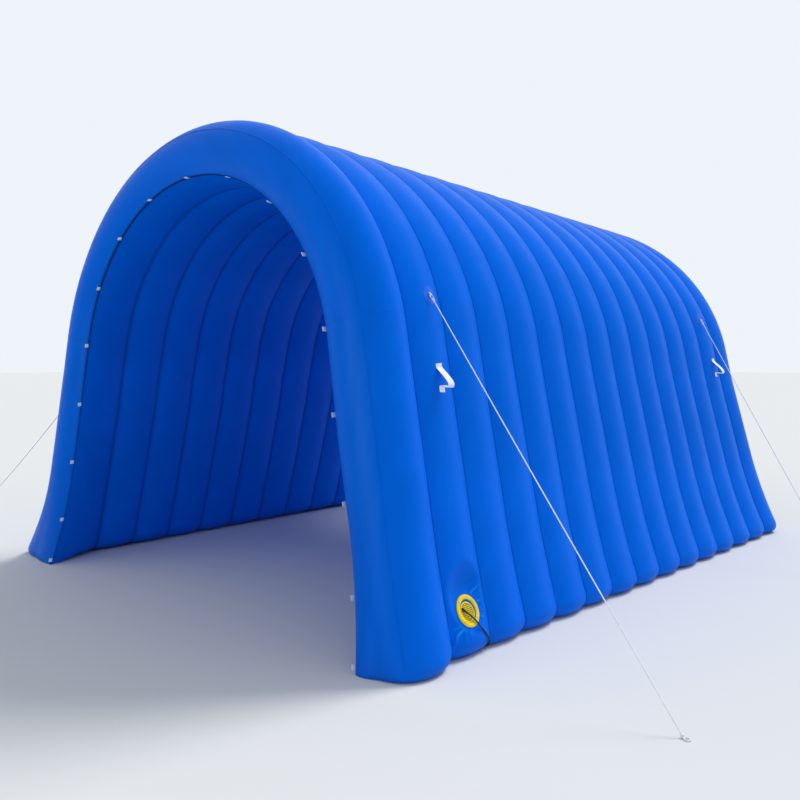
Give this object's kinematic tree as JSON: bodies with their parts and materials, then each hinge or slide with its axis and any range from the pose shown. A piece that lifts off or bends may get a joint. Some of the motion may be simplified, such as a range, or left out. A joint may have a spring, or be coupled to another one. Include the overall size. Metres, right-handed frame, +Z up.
{
  "type": "inflatable arch tunnel",
  "caption": "Blue inflatable walk-through arch tunnel: a fat mouth ring, air ribs sewn side by side, white webbing tabs and handles, guy ropes on ringed patches and a yellow blower port.",
  "frame": {"origin": "on the ground under the middle of the tunnel, cords left out", "axes": "+X across the tunnel to the blower port's side, +Y along it from the mouth ring to the back, +Z up"},
  "size_m": [6.0449, 5.1743, 2.9982],
  "materials": {
    "coated_cloth": "satin",
    "patch_cloth": "gloss",
    "white_webbing": "matte",
    "white_rope": "matte",
    "steel": "satin",
    "yellow_plastic": "satin",
    "black_rubber": "matte"
  },
  "bodies": {
    "root": {"cable_coil": "black_rubber", "cable_gland": "black_rubber", "cable_plug": "black_rubber", "guy_loop_back_left": "white_rope", "guy_loop_back_right": "white_rope", "guy_loop_mouth_left": "white_rope", "guy_loop_mouth_right": "white_rope", "guy_patch_back_left": "patch_cloth", "guy_patch_back_right": "patch_cloth", "guy_patch_mouth_left": "patch_cloth", "guy_patch_mouth_right": "patch_cloth", "guy_ring_back_left": "steel", "guy_ring_back_right": "steel", "guy_ring_mouth_left": "steel", "guy_ring_mouth_right": "steel", "guy_rope_back_left": "white_rope", "guy_rope_back_right": "white_rope", "guy_rope_mouth_left": "white_rope", "guy_rope_mouth_right": "white_rope", "handle_back_left": "white_webbing", "handle_back_right": "white_webbing", "handle_mouth_left": "white_webbing", "handle_mouth_right": "white_webbing", "mouth_ring": "coated_cloth", "mouth_tab_01": "white_webbing", "mouth_tab_02": "white_webbing", "mouth_tab_03": "white_webbing", "mouth_tab_04": "white_webbing", "mouth_tab_05": "white_webbing", "mouth_tab_06": "white_webbing", "mouth_tab_07": "white_webbing", "mouth_tab_08": "white_webbing", "mouth_tab_09": "white_webbing", "mouth_tab_10": "white_webbing", "mouth_tab_11": "white_webbing", "mouth_tab_12": "white_webbing", "mouth_tab_13": "white_webbing", "mouth_tab_14": "white_webbing", "mouth_tab_15": "white_webbing", "mouth_tab_16": "white_webbing", "mouth_tab_17": "white_webbing", "port_grille": "yellow_plastic", "port_ring": "yellow_plastic", "power_cable": "black_rubber", "rib_01": "coated_cloth", "rib_02": "coated_cloth", "rib_03": "coated_cloth", "rib_04": "coated_cloth", "rib_05": "coated_cloth", "rib_06": "coated_cloth", "rib_07": "coated_cloth", "rib_08": "coated_cloth", "rib_09": "coated_cloth", "rib_10": "coated_cloth", "rib_11": "coated_cloth", "rib_12": "coated_cloth", "rib_13": "coated_cloth", "rib_14": "coated_cloth"}
  },
  "joints": []
}
